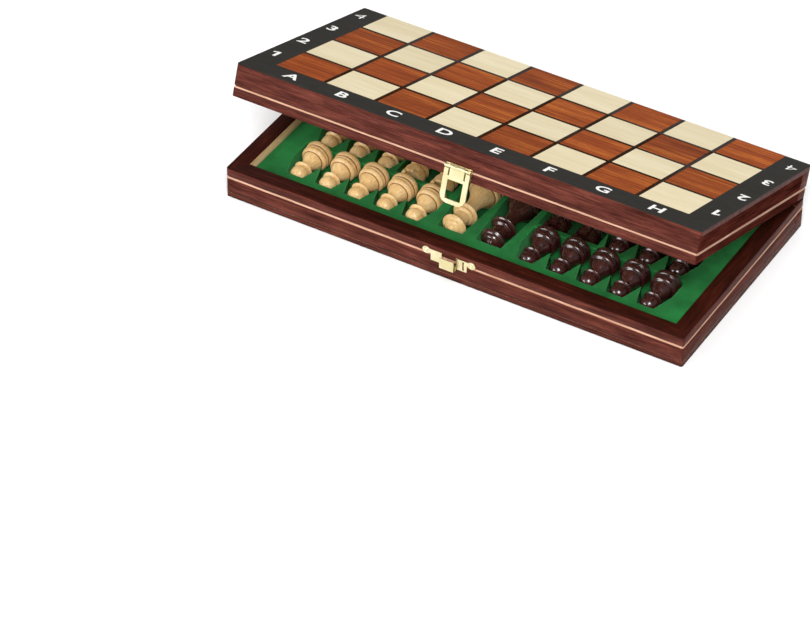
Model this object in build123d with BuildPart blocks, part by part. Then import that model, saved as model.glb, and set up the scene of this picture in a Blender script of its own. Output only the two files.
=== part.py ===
from build123d import *
import os

os.makedirs("parts", exist_ok=True)

# Folding chess box, in millimetres. Two equal trays are hinged along one long edge. X runs from file A
# to file H, Y from the opening edge to the hinged edge, Z up. The origin is the centre of the lower
# tray's outer face, on which the box stands.

# board and box
square_size = 30.0          # from one line's middle to the next
file_count = 8
rank_count = 4
border_width = 14.6         # at the sides, outer edge to the squares
front_border = 15.5
half_height = 18.0
rail_thickness = 9.0
board_thickness = 3.0
inlay_depth = 0.6
line_width = 2.2            # between squares
corner_radius = 1.2
groove_drop = 5.6           # groove centre, from the rim
groove_depth = 0.9
groove_half_width = 0.85
parting_gap = 0.1
lid_ajar = 18.4             # degrees

# flocked insert
insert_side_gap = 1.2
insert_end_gap = 0.6
insert_drop = 3.5           # top of the insert, below the rim
pocket_skin = 1.0
wall = 3.5
pocket_play = 0.5
queen_inset = 2.5           # the queens' pockets start behind the pawns'

# chessmen, matched to the board: foot radius and height of each kind, in squares
pawn_shares = (0.253, 0.860)
rook_shares = (0.277, 1.017)
knight_shares = (0.293, 1.167)
bishop_shares = (0.290, 1.250)
queen_shares = (0.310, 1.467)
king_shares = (0.310, 1.600)
turning_sides = 8
rest_gap = 0.05             # each man above the floor of its pocket
man_gap = 2.1               # between the feet of neighbours in a trough
royal_spacing = 22.6        # between the two queens' and the two kings' centres
column_wall = 3.8
officer_wall = 3.15
front_row_margin = 7.65     # front end of the insert to the front pockets

# hinges
hinge_spread = 160.0
hinge_length = 22.0
knuckle_radius = 1.6
knuckle_play = 0.25
knuckle_gap = 0.2
middle_knuckle = 7.2
hinge_pin_radius = 0.6
running_clearance = 0.04
leaf_thickness = 0.7
leaf_width = 7.3            # from the hinge axis
screw_radius = 0.7
screw_head_radius = 1.3
screw_length = 6.0
fastener_sides = 6
pin_sides = 16              # of a pin and of the bore round it
screw_inset = 4.3           # from the hinge axis
screw_spread = 13.0
screw_clearance = 0.02

# latch, a sheet loop on the lid
sheet = 0.5
loop_sheet = 0.8
loop_width = 14.8
loop_reach = 14.0           # below the parting plane
loop_corner = 4.8
loop_flange = 1.3
flange_sheet = 0.7
loop_bar = 3.0
loop_foot = 2.4
window_top = 1.4            # below the parting plane
tab_width = 8.4
slit_width = 0.7
slit_start = 0.4            # above the parting plane
loop_top_gap = 0.35         # below the little hinge's barrels
latch_standoff = 1.5        # pin axis in front of the box
latch_barrel_radius = 0.95
latch_pin_radius = 0.5
plate_play = 0.1
plate_head = 1.2            # of the latch plate above the pin's middle
prong_width = 1.6
prong_thickness = 0.6
prong_length = 5.0
prong_spread = 8.0
prong_height = 2.6          # above the lid's edge
ear_sides = 16
nail_radius = 0.4
nail_head_radius = 0.9
nail_head_height = 0.4
nail_length = 5.0

# catch, a stamped plate on the tray
catch_drop = 3.8            # ear centres below the rim
catch_ear_spread = 26.4
catch_ear_radius = 2.2
catch_plate_width = 21.0
catch_plate_top = 2.5       # below the rim
catch_plate_height = 6.7
catch_slot_place = 8.4      # right of the middle
catch_slot_width = 0.9
catch_slot_height = 5.4
neck_height = 2.4
tongue_play = 0.3
tongue_height = 7.6
tongue_rise = 2.5
tongue_slope = 1.3
tongue_root = 0.8           # height of its fold
web_height = 2.0            # of the plate left behind the tongue

# worked out
box_length = file_count * square_size - line_width + 2 * border_width
box_depth = rank_count * square_size - line_width + front_border
front = -box_depth / 2
back = box_depth / 2
rim = half_height
hinge_height = half_height + parting_gap / 2
hinge_line = back + parting_gap / 2
hinge_axis = Axis((0, hinge_line, hinge_height), (1, 0, 0))
inside_length = box_length - 2 * rail_thickness
inside_depth = box_depth - 2 * rail_thickness
groove_height = rim - groove_drop


def save(solids, name):
    # one solid goes out as itself and several as a group under one name
    solids = list(solids)
    piece = solids[0] if len(solids) == 1 else Compound(children=solids)
    piece.label = name
    export_step(piece, f"parts/{name}.step")


def to_lid(part):
    # the lid is the tray turned over on its rim, then swung open about the hinge
    turned = mirror(part, about=Plane.XY.offset(hinge_height))
    return turned.rotate(hinge_axis, -lid_ajar)


def lid_swing(part):
    return part.rotate(hinge_axis, -lid_ajar)


# ---- the two half boxes -------------------------------------------------------------------------

with BuildPart() as outer_form:
    with BuildSketch():
        RectangleRounded(box_length, box_depth, corner_radius)
    extrude(amount=half_height)

def fastener(radius, length, head_radius, head_low, head_high):
    # a screw or nail pointing down, with a sunk or a raised head between two heights
    head_height = head_high - head_low
    with BuildPart() as pin:
        with BuildSketch(Plane.XY.offset(head_low)):
            RegularPolygon(head_radius, fastener_sides)
        extrude(amount=head_height)
        narrow_end = pin.faces().sort_by(Axis.Z)[-1 if head_low >= 0 else 0]
        chamfer(narrow_end.edges(), 0.9 * head_height)
        with BuildSketch(Plane.XY.offset(-length)):
            RegularPolygon(radius, fastener_sides)
        extrude(amount=length + head_low)
    return pin.part


def screw(play=0.0):
    # with play, it is the countersunk hole for one
    head_depth = 0.9 * (screw_head_radius - screw_radius)
    return fastener(screw_radius + play, screw_length, screw_head_radius + play, -head_depth, 0)


def nail():
    return fastener(nail_radius, nail_length, nail_head_radius, 0, nail_head_height)


def moulding(length):
    # a straight length of frame moulding along X, with its grooved face at Y = 0 and the wood behind it
    with BuildPart() as piece:
        with BuildSketch(Plane.YZ.offset(-length / 2)):
            with BuildLine():
                Polyline(
                    (0, board_thickness),
                    (rail_thickness, board_thickness),
                    (rail_thickness, rim),
                    (0, rim),
                    (0, groove_height + groove_half_width),
                    (groove_depth, groove_height),
                    (0, groove_height - groove_half_width),
                    close=True,
                )
            make_face()
        extrude(amount=length)
    return piece.part


def rail(place, length, corners):
    # the moulding set in its place and sawn to the outline given by its corners
    with BuildPart() as piece:
        add(place * moulding(length))
        with BuildSketch():
            with BuildLine():
                Polyline(*corners, close=True)
            make_face()
        extrude(amount=half_height, mode=Mode.INTERSECT)
        add(outer_form.part, mode=Mode.INTERSECT)
    return piece.part


outer_x = box_length / 2
inner_x = outer_x - rail_thickness
inner_front = front + rail_thickness
inner_back = back - rail_thickness
front_rail = rail(
    Location((0, front, 0)),
    box_length,
    [(-outer_x, front), (outer_x, front), (inner_x, inner_front), (-inner_x, inner_front)],
)
left_rail = rail(
    Location((-outer_x, 0, 0), (0, 0, -90)),
    box_depth,
    [(-outer_x, front), (-inner_x, inner_front), (-inner_x, inner_back), (-outer_x, inner_back)],
)
right_rail = mirror(left_rail, about=Plane.YZ)
plain_back_rail = rail(
    Location((0, back, 0), (0, 0, 180)),
    box_length,
    [(-outer_x, inner_back), (outer_x, inner_back), (outer_x, back), (-outer_x, back)],
)

screw_places = [
    (x + end * screw_spread / 2, hinge_line - screw_inset)
    for x in (-hinge_spread / 2, hinge_spread / 2)
    for end in (-1, 1)
]

with BuildPart() as back_rail:
    add(plain_back_rail)
    # its ends carry the groove on round the corner
    with BuildSketch(Plane.XZ.offset(-back - 1)):
        for end in (-outer_x, outer_x):
            with BuildLine():
                Polyline(
                    (end, groove_height + groove_half_width),
                    (end - groove_depth * (1 if end > 0 else -1), groove_height),
                    (end, groove_height - groove_half_width),
                    close=True,
                )
            make_face()
    extrude(amount=rail_thickness + 2, mode=Mode.SUBTRACT)
    # a mortise for each hinge leaf, and the hollow that its knuckles turn in
    with BuildSketch(Plane.XY.offset(rim - leaf_thickness)):
        with Locations((-hinge_spread / 2, hinge_line), (hinge_spread / 2, hinge_line)):
            Rectangle(hinge_length, 2 * leaf_width)
    extrude(amount=2 * leaf_thickness, mode=Mode.SUBTRACT)
    for x in (-hinge_spread / 2, hinge_spread / 2):
        with BuildSketch(Plane.YZ.offset(x - hinge_length / 2 - knuckle_gap)):
            with Locations((hinge_line, hinge_height)):
                Circle(knuckle_radius + knuckle_play)
        extrude(amount=hinge_length + 2 * knuckle_gap, mode=Mode.SUBTRACT)
    with Locations(*[(x, y, rim) for x, y in screw_places]):
        add(screw(screw_clearance), mode=Mode.SUBTRACT)


tile = square_size - line_width


def tile_places(odd):
    # the squares whose file and rank numbers add up to an odd or to an even number
    left = -file_count * square_size / 2 + square_size / 2
    near = front + front_border + tile / 2
    return [
        (left + column * square_size, near + row * square_size)
        for column in range(file_count)
        for row in range(rank_count)
        if (column + row) % 2 == odd
    ]


with BuildPart() as border:
    with BuildSketch():
        Rectangle(box_length, box_depth)
        with Locations((0, front_border)):
            Rectangle(box_length - 2 * border_width, box_depth, mode=Mode.SUBTRACT)
    extrude(amount=inlay_depth)
    add(outer_form.part, mode=Mode.INTERSECT)

with BuildPart() as board:
    with BuildSketch():
        RectangleRounded(box_length, box_depth, corner_radius)
    extrude(amount=board_thickness)
    add(border.part, mode=Mode.SUBTRACT)
    with BuildSketch():
        with Locations(*tile_places(0), *tile_places(1)):
            Rectangle(tile, tile)
    extrude(amount=inlay_depth, mode=Mode.SUBTRACT)


def tiles(odd):
    with BuildPart() as group:
        with BuildSketch():
            with Locations(*tile_places(odd)):
                Rectangle(tile, tile)
        extrude(amount=inlay_depth)
    return group.part


half_pieces = {
    "front_rail": front_rail,
    "left_rail": left_rail,
    "right_rail": right_rail,
    "back_rail": back_rail.part,
    "board": board.part,
    "border": border.part,
}
for name, piece in half_pieces.items():
    save(piece.solids(), f"tray_{name}")
    save(to_lid(piece).solids(), f"lid_{name}")
# square A1 is dark, and it is the corner square of the lid's near left
save(tiles(1).solids(), "tray_dark_squares")
save(tiles(0).solids(), "tray_light_squares")
save(to_lid(tiles(0)).solids(), "lid_dark_squares")
save(to_lid(tiles(1)).solids(), "lid_light_squares")

# ---- flocked insert -----------------------------------------------------------------------------

insert_length = inside_length - 2 * insert_side_gap
insert_depth = inside_depth - 2 * insert_end_gap
insert_top = rim - insert_drop
pocket_floor = board_thickness + pocket_skin
insert_front = -insert_depth / 2

pawn_radius, pawn_height = [share * square_size for share in pawn_shares]
rook_radius, rook_height = [share * square_size for share in rook_shares]
knight_radius, knight_height = [share * square_size for share in knight_shares]
bishop_radius, bishop_height = [share * square_size for share in bishop_shares]
queen_radius, queen_height = [share * square_size for share in queen_shares]
king_radius, king_height = [share * square_size for share in king_shares]

# columns, from the middle of the box outwards
royal_half = max(king_radius, queen_radius) + pocket_play
royal_x = royal_spacing / 2
man_pitch = 2 * pawn_radius + man_gap
trough_start = royal_x + royal_half + column_wall
pawn_columns = [trough_start + man_pitch * (k + 0.5) for k in range(5)]
officer_half = knight_radius + pocket_play
officer_pitch = 2 * officer_half + officer_wall
officer_start = royal_x + royal_half + 1.8 * officer_wall
officer_columns = [officer_start + officer_half + officer_pitch * k for k in range(4)]

# rows: where the men's bases end, towards the hinge
front_pocket = insert_front + front_row_margin
front_base = front_pocket + pocket_play + pawn_height
second_front = front_base + pocket_play + wall
second_base = second_front + pocket_play + pawn_height
rook_base = second_front + pocket_play + rook_height
knight_front = rook_base + pocket_play + wall - pocket_play
knight_base = knight_front + pocket_play + knight_height
bishop_front = second_base + pocket_play + wall - pocket_play
bishop_base = bishop_front + pocket_play + bishop_height
queen_front = front_pocket + queen_inset
queen_base = queen_front + pocket_play + queen_height
king_front = queen_base + wall - pocket_play
king_base = king_front + pocket_play + king_height

# a pawn's head is narrower than its foot, so its end of the pocket is shallower
head_depth = pawn_height / 2
head_floor = pocket_floor + 0.36 * pawn_radius
notch_tip_width = 1.25 * pawn_radius


def rectangle_pocket(x, width, near, far):
    with Locations((x, (near + far) / 2)):
        Rectangle(width, far - near)


with BuildPart() as flocked_insert:
    with BuildSketch(Plane.XY.offset(board_thickness)):
        Rectangle(insert_length, insert_depth)
    extrude(amount=insert_top - board_thickness)
    # deep troughs for the bases, and whole pockets for the rooks and the officers
    with BuildSketch(Plane.XY.offset(pocket_floor)):
        for side in (-1, 1):
            inner = pawn_columns[0] - man_pitch / 2
            pawns_from = pawn_columns[2] - man_pitch / 2
            outer = pawn_columns[4] + man_pitch / 2
            row_end = front_base + pocket_play
            rectangle_pocket(side * (inner + outer) / 2, outer - inner, front_pocket + head_depth, row_end)
            row_end = second_base + pocket_play
            rectangle_pocket(side * (pawns_from + outer) / 2, outer - pawns_from, second_front + head_depth, row_end)
            row_end = rook_base + pocket_play
            rectangle_pocket(side * (inner + pawns_from) / 2, pawns_from - inner, second_front, row_end)
            knight_width = 2 * (knight_radius + pocket_play)
            bishop_width = 2 * (bishop_radius + pocket_play)
            king_width = 2 * (king_radius + pocket_play)
            for x in officer_columns[:2]:
                rectangle_pocket(side * x, knight_width, knight_front, knight_base + pocket_play)
            for x in officer_columns[2:]:
                rectangle_pocket(side * x, bishop_width, bishop_front, bishop_base + pocket_play)
            rectangle_pocket(side * royal_x, king_width, king_front, king_base + pocket_play)
            # the queen's pocket narrows towards her crown
            base_half = queen_radius + pocket_play
            crown_half = 0.75 * base_half
            queen_bell = queen_base - 0.27 * queen_height
            with BuildLine():
                Polyline(
                    (side * royal_x - crown_half, queen_front),
                    (side * royal_x + crown_half, queen_front),
                    (side * royal_x + base_half, queen_bell),
                    (side * royal_x + base_half, queen_base + pocket_play),
                    (side * royal_x - base_half, queen_base + pocket_play),
                    (side * royal_x - base_half, queen_bell),
                    close=True,
                )
            make_face()
    extrude(amount=insert_top - pocket_floor, mode=Mode.SUBTRACT)
    # shallow notches that narrow towards the pawns' heads
    with BuildSketch(Plane.XY.offset(head_floor)):
        for side in (-1, 1):
            for near, columns in ((front_pocket, pawn_columns), (second_front, pawn_columns[2:])):
                for column in columns:
                    x = side * column
                    with BuildLine():
                        Polyline(
                            (x - notch_tip_width / 2, near),
                            (x + notch_tip_width / 2, near),
                            (x + man_pitch / 2, near + head_depth),
                            (x - man_pitch / 2, near + head_depth),
                            close=True,
                        )
                    make_face()
    extrude(amount=insert_top - head_floor, mode=Mode.SUBTRACT)
save(flocked_insert.part.solids(), "flocked_insert")

# ---- chessmen -----------------------------------------------------------------------------------


def turned(radius, height, stations):
    # a turned man from the foot up, as a many-sided solid just round the round one, flat side down when
    # it lies. Stations are shares of the foot radius and of the height. Each pair of opposite sides is the
    # whole outline drawn through, and the man is what all the pairs have in common
    side_line = [(radius * across, height * up) for across, up in stations]
    outline = side_line + [(-across, up) for across, up in reversed(side_line)]
    with BuildPart() as man:
        for k in range(turning_sides // 2):
            with BuildSketch(Plane.YZ.rotated((0, 0, k * 360 / turning_sides))):
                with BuildLine():
                    Polyline(*outline, close=True)
                make_face()
            extrude(amount=2 * radius, both=True, mode=Mode.INTERSECT if k else Mode.ADD)
    return man.part


# the disc and the bell that every man stands on
foot = [(1, 0), (1, 0.12)]


def pawn():
    neck = [(0.76, 0.33), (0.38, 0.62)]
    collar = [(0.63, 0.66), (0.63, 0.70)]
    head = [(0.45, 0.73), (0.57, 0.84), (0.4, 0.965), (0.12, 1)]
    return turned(pawn_radius, pawn_height, foot + neck + collar + head)


def rook():
    neck = [(0.8, 0.28), (0.5, 0.67)]
    collar = [(0.66, 0.70), (0.66, 0.74)]
    tower = 0.735 * rook_radius
    well_depth = 0.11 * rook_height
    with BuildPart() as man:
        add(turned(rook_radius, rook_height, foot + neck + collar + [(0.55, 0.77), (0.735, 0.84), (0.735, 1)]))
        with BuildSketch(Plane.XY.offset(rook_height - well_depth)):
            RegularPolygon(0.68 * tower, 8)
        extrude(amount=well_depth, mode=Mode.SUBTRACT)
        # narrow battlements
        with BuildSketch(Plane.XY.offset(rook_height - 0.7 * well_depth)):
            with PolarLocations(0, 2, start_angle=45, angular_range=180):
                Rectangle(3 * tower, 0.25 * tower)
        extrude(amount=well_depth, mode=Mode.SUBTRACT)
    return man.part


def bishop():
    neck = [(0.8, 0.24), (0.43, 0.57)]
    collar = [(0.63, 0.59), (0.63, 0.62)]
    mitre = [(0.45, 0.64), (0.61, 0.735), (0.5, 0.82), (0.18, 0.895)]
    finial = [(0.31, 0.94), (0.1, 1)]
    with BuildPart() as man:
        add(turned(bishop_radius, bishop_height, foot + neck + collar + mitre + finial))
        # the slanting cut in the mitre
        with BuildSketch(Plane.XZ):
            with Locations(Location((0.5 * bishop_radius, 0.78 * bishop_height), -35)):
                Rectangle(0.13 * bishop_radius, 0.9 * bishop_radius)
        extrude(amount=bishop_radius, both=True, mode=Mode.SUBTRACT)
    return man.part


def queen():
    neck = [(0.8, 0.22), (0.42, 0.6)]
    collar = [(0.73, 0.635), (0.73, 0.66)]
    crown = [(0.5, 0.685), (0.56, 0.82), (0.72, 0.9), (0.72, 0.92), (0.24, 0.95)]
    knob = [(0.24, 0.973), (0.08, 1)]
    return turned(queen_radius, queen_height, foot + neck + collar + crown + knob)


def king():
    neck = [(0.8, 0.2), (0.4, 0.58)]
    collar = [(0.78, 0.605), (0.78, 0.63)]
    crown = [(0.48, 0.655), (0.66, 0.845), (0.66, 0.86), (0.26, 0.885)]
    fin_height = 0.133 * king_height
    fin_width = 0.8 * king_radius
    fin_corner = 0.26 * king_radius
    with BuildPart() as man:
        add(turned(king_radius, king_height, foot + neck + collar + crown))
        # a flat fin with its corners taken off, in place of a cross
        with BuildSketch(Plane.XZ):
            with Locations((0, king_height - fin_height / 2)):
                fin = Rectangle(fin_width, fin_height)
            chamfer(fin.vertices(), fin_corner)
        extrude(amount=0.16 * king_radius, both=True)
    return man.part


def knight():
    across = knight_radius
    up = knight_height
    # the carved head in side view: mane, ear, brow, nose, mouth, jaw and chest
    head = [
        (-0.52, 0.27),
        (-0.67, 0.43),
        (-0.61, 0.60),
        (-0.43, 0.77),
        (-0.18, 0.90),
        (0.05, 1.00),
        (0.23, 0.91),
        (0.41, 0.86),
        (0.80, 0.71),
        (0.82, 0.65),
        (0.67, 0.61),
        (0.48, 0.65),
        (0.52, 0.58),
        (0.25, 0.57),
        (0.22, 0.51),
        (0.50, 0.41),
        (0.52, 0.27),
    ]
    head_half = 0.48 * across
    with BuildPart() as man:
        with BuildSketch(Plane.XZ):
            with BuildLine():
                Polyline(*[(across * x, up * z) for x, z in head], close=True)
            make_face()
        extrude(amount=head_half, both=True)
        cheeks = man.faces().filter_by(Axis.Y)
        chamfer(cheeks.edges(), 0.22 * head_half)
        add(turned(knight_radius, knight_height, foot + [(0.66, 0.28), (0.61, 0.305)]))
    return man.part


def lay_down(man, x, base_y, radius):
    # lying along Y, with the head towards the front, on the floor of its pocket
    axis_height = pocket_floor + radius + rest_gap
    return Location((x, base_y, axis_height), (90, 0, 0)) * man


def place_set(colour, side):
    pawns = [(x, front_base) for x in pawn_columns] + [(x, second_base) for x in pawn_columns[2:]]
    rooks = [(x, rook_base) for x in pawn_columns[:2]]
    knights = [(x, knight_base) for x in officer_columns[:2]]
    bishops = [(x, bishop_base) for x in officer_columns[2:]]
    kinds = {
        "pawn": (pawn_form, pawn_radius, pawns),
        "rook": (rook_form, rook_radius, rooks),
        "knight": (knight_form, knight_radius, knights),
        "bishop": (bishop_form, bishop_radius, bishops),
        "queen": (queen_form, queen_radius, [(royal_x, queen_base)]),
        "king": (king_form, king_radius, [(royal_x, king_base)]),
    }
    for kind, (form, radius, places) in kinds.items():
        for number, (x, base_y) in enumerate(places, 1):
            name = f"{colour}_{kind}_{number}" if len(places) > 1 else f"{colour}_{kind}"
            save(lay_down(form, side * x, base_y, radius).solids(), name)


pawn_form = pawn()
rook_form = rook()
knight_form = knight()
bishop_form = bishop()
queen_form = queen()
king_form = king()
place_set("pale", -1)
place_set("dark", 1)

# ---- hinges -------------------------------------------------------------------------------------


def hinge_leaves(spans, bore):
    # a flat leaf let into the rim, with tongues that roll into the knuckles along the given spans
    with BuildPart() as leaves:
        for x in (-hinge_spread / 2, hinge_spread / 2):
            shoulder = knuckle_radius + knuckle_play
            with BuildSketch(Plane.XY.offset(rim - leaf_thickness)):
                with Locations((x, hinge_line - (leaf_width + shoulder) / 2)):
                    Rectangle(hinge_length, leaf_width - shoulder)
                for start, end in spans:
                    with Locations((x + (start + end) / 2, hinge_line - (shoulder + hinge_pin_radius) / 2)):
                        Rectangle(end - start, shoulder - hinge_pin_radius)
            extrude(amount=leaf_thickness)
            for start, end in spans:
                with BuildSketch(Plane.YZ.offset(x + start)):
                    with Locations((hinge_line, hinge_height)):
                        Circle(knuckle_radius)
                extrude(amount=end - start)
            with BuildSketch(Plane.YZ.offset(x - hinge_length)):
                with Locations((hinge_line, hinge_height)):
                    RegularPolygon(bore, pin_sides, major_radius=False)
            extrude(amount=2 * hinge_length, mode=Mode.SUBTRACT)
        with Locations(*[(x, y, rim) for x, y in screw_places]):
            add(screw(screw_clearance), mode=Mode.SUBTRACT)
    return leaves.part


half_hinge = hinge_length / 2
half_middle = middle_knuckle / 2
outer_spans = [(-half_hinge, -half_middle - knuckle_gap), (half_middle + knuckle_gap, half_hinge)]
middle_span = [(-half_middle, half_middle)]
tray_leaves = hinge_leaves(outer_spans, hinge_pin_radius + running_clearance / 2)
lid_leaves = hinge_leaves(middle_span, hinge_pin_radius + running_clearance)
save(tray_leaves.solids(), "tray_hinge_leaves")
save(to_lid(lid_leaves).solids(), "lid_hinge_leaves")

with BuildPart() as hinge_pins:
    for x in (-hinge_spread / 2, hinge_spread / 2):
        with BuildSketch(Plane.YZ.offset(x - half_hinge)):
            with Locations((hinge_line, hinge_height)):
                RegularPolygon(hinge_pin_radius, pin_sides)
        extrude(amount=hinge_length)
save(hinge_pins.part.solids(), "hinge_pins")

screws = [Location((x, y, rim)) * screw().solid() for x, y in screw_places]
save(screws, "tray_hinge_screws")
save([to_lid(piece) for piece in screws], "lid_hinge_screws")

# ---- latch loop on the lid, drawn on the closed lid ------------------------------------------------

lid_edge = rim + parting_gap
latch_height = lid_edge + groove_drop
latch_axis_y = front - latch_standoff
knuckle_half = loop_width / 2
tab_half = tab_width / 2
plate_top = latch_height + plate_head
plate_foot = lid_edge + 0.5
prong_places = [(side * prong_spread / 2, lid_edge + prong_height) for side in (-1, 1)]


def upright(y):
    # a drawing plane that faces the front, at the given depth
    return Plane.XZ.offset(-y)


def nail_holes(plate, places, depth):
    # a hole for each nail, from in front of the sheet to the given depth in the wood or in the sheet
    with BuildPart() as drilled:
        add(plate)
        with BuildSketch(upright(front - sheet)):
            with Locations(*places):
                RegularPolygon(nail_radius + screw_clearance, fastener_sides)
        extrude(amount=-depth, mode=Mode.SUBTRACT)
    return drilled.part


with BuildPart() as latch_plate:
    with BuildSketch(upright(front)):
        with Locations((0, (plate_foot + plate_top) / 2)):
            Rectangle(loop_width, plate_top - plate_foot)
    extrude(amount=sheet)
    # two prongs behind it, pressed into the wood
    with BuildSketch(upright(front)):
        with Locations(*prong_places):
            Rectangle(prong_width, prong_thickness)
    extrude(amount=-prong_length)
    # the two outer barrels of the little hinge, on short tongues from the plate
    for start in (-knuckle_half, tab_half + plate_play):
        length = knuckle_half - tab_half - plate_play
        with BuildSketch(Plane.YZ.offset(start)):
            with Locations((latch_axis_y, latch_height)):
                Circle(latch_barrel_radius)
            with Locations(((latch_axis_y + front - sheet) / 2, latch_height + 0.6)):
                Rectangle(latch_standoff - sheet + 0.02, 0.7)
            with Locations((latch_axis_y, latch_height)):
                bore = latch_pin_radius + running_clearance / 2
                RegularPolygon(bore, pin_sides, major_radius=False, mode=Mode.SUBTRACT)
        extrude(amount=length)
save(lid_swing(latch_plate.part).solids(), "latch_plate")

with BuildPart() as latch_pin:
    with BuildSketch(Plane.YZ.offset(-knuckle_half)):
        with Locations((latch_axis_y, latch_height)):
            RegularPolygon(latch_pin_radius, pin_sides)
    extrude(amount=loop_width)
save(lid_swing(latch_pin.part).solids(), "latch_pin")

loop_top = latch_height - latch_barrel_radius - loop_top_gap
slit_bottom = lid_edge + slit_start
loop_bottom = lid_edge - loop_reach
window_bottom = loop_bottom + loop_foot


def loop_outline(inset, top):
    # the loop's outer edge, square at the top and rounded at the foot
    half = loop_width / 2 - inset
    corner = loop_corner - inset
    foot_height = loop_bottom + inset
    shoulder = foot_height + corner
    with BuildSketch() as outline:
        with BuildLine():
            Polyline((-half, shoulder), (-half, top), (half, top), (half, shoulder))
            RadiusArc((half, shoulder), (half - corner, foot_height), corner)
            Line((half - corner, foot_height), (corner - half, foot_height))
            RadiusArc((corner - half, foot_height), (-half, shoulder), corner)
        make_face()
    return outline.sketch


outer_edge = loop_outline(0, loop_top)
inner_edge = loop_outline(flange_sheet, loop_top + 1)

with BuildPart() as latch_loop:
    with BuildSketch(upright(latch_axis_y + loop_sheet / 2)):
        add(outer_edge)
        window_height = lid_edge - window_top - window_bottom
        with Locations((0, window_bottom + window_height / 2)):
            Rectangle(loop_width - 2 * loop_bar, window_height, mode=Mode.SUBTRACT)
        # slits free the middle tab, which goes up to the pin
        for side in (-1, 1):
            slit_x = side * (tab_half + slit_width / 2)
            with Locations((slit_x, (slit_bottom + latch_height) / 2)):
                Rectangle(slit_width, latch_height - slit_bottom, mode=Mode.SUBTRACT)
        with Locations((0, (latch_height + lid_edge) / 2)):
            Rectangle(tab_width, latch_height - lid_edge)
    extrude(amount=loop_sheet)
    # the outer edge is turned in towards the box
    with BuildSketch(upright(latch_axis_y - loop_sheet / 2 + loop_flange)):
        add(outer_edge)
        add(inner_edge, mode=Mode.SUBTRACT)
    extrude(amount=loop_flange)
    with BuildSketch(Plane.YZ.offset(-tab_half)):
        with Locations((latch_axis_y, latch_height)):
            Circle(latch_barrel_radius)
    extrude(amount=tab_width)
    with BuildSketch(Plane.YZ.offset(-tab_half)):
        with Locations((latch_axis_y, latch_height)):
            RegularPolygon(latch_pin_radius + running_clearance, pin_sides, major_radius=False)
    extrude(amount=tab_width, mode=Mode.SUBTRACT)
save(lid_swing(latch_loop.part).solids(), "latch_loop")

with BuildPart() as lid_front:
    add(mirror(front_rail, about=Plane.XY.offset(hinge_height)))
    # a slot for each prong of the plate
    with BuildSketch(upright(front - sheet)):
        with Locations(*prong_places):
            Rectangle(prong_width + 2 * screw_clearance, prong_thickness + 2 * screw_clearance)
    extrude(amount=-(sheet + prong_length + screw_clearance), mode=Mode.SUBTRACT)
save(lid_swing(lid_front.part).solids(), "lid_front_rail")

# ---- catch on the tray ---------------------------------------------------------------------------

catch_ears = [(-catch_ear_spread / 2, rim - catch_drop), (catch_ear_spread / 2, rim - catch_drop)]
plate_middle = rim - catch_plate_top - catch_plate_height / 2
tongue_width = loop_width - 2 * loop_bar - 2 * tongue_play
tongue_bottom = window_bottom + 0.1
tongue_top = tongue_bottom + tongue_height
plate_low = rim - catch_plate_top - catch_plate_height
notch_low = plate_low + web_height
notch_high = rim - catch_plate_top


def driven(x, z):
    # where a nail enters the face of a plate on the front
    return Location((x, front - sheet, z), (90, 0, 0))


with BuildPart() as catch_plate:
    with BuildSketch(upright(front)):
        with Locations((0, plate_middle)):
            Rectangle(catch_plate_width, catch_plate_height)
        with Locations((0, (tongue_bottom + tongue_top) / 2)):
            Rectangle(tongue_width, tongue_height)
        with Locations(*catch_ears):
            RegularPolygon(catch_ear_radius, ear_sides)
        for side in (-1, 1):
            ear_neck = catch_ear_spread / 2 - catch_plate_width / 2
            with Locations((side * (catch_plate_width / 2 + ear_neck / 2), rim - catch_drop)):
                Rectangle(ear_neck, neck_height)
        with Locations((catch_slot_place, plate_middle)):
            Rectangle(catch_slot_width, catch_slot_height, mode=Mode.SUBTRACT)
        # the notch that the tongue was bent out of
        with Locations((0, (notch_low + notch_high + 1) / 2)):
            Rectangle(tongue_width, notch_high + 1 - notch_low, mode=Mode.SUBTRACT)
    extrude(amount=sheet)
    # the tongue is folded out at its root and stands up in front of the notch, open at the top
    with BuildSketch(Plane.YZ.offset(-tongue_width / 2)):
        face_y = front - sheet
        with BuildLine():
            Polyline(
                (face_y, tongue_bottom),
                (face_y - tongue_rise, tongue_bottom + tongue_slope),
                (face_y - tongue_rise, tongue_top),
                (face_y - tongue_rise + sheet, tongue_top),
                (face_y - tongue_rise + sheet, tongue_bottom + tongue_slope + sheet / 2),
                (face_y, tongue_bottom + tongue_root),
                close=True,
            )
        make_face()
    extrude(amount=tongue_width)
save(nail_holes(catch_plate.part, catch_ears, sheet).solids(), "catch_plate")
save([driven(x, z) * nail().solid() for x, z in catch_ears], "catch_nails")
save(nail_holes(front_rail, catch_ears, nail_length).solids(), "tray_front_rail")
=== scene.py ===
import math

import bmesh
import bpy
from mathutils import Matrix, Vector


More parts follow.
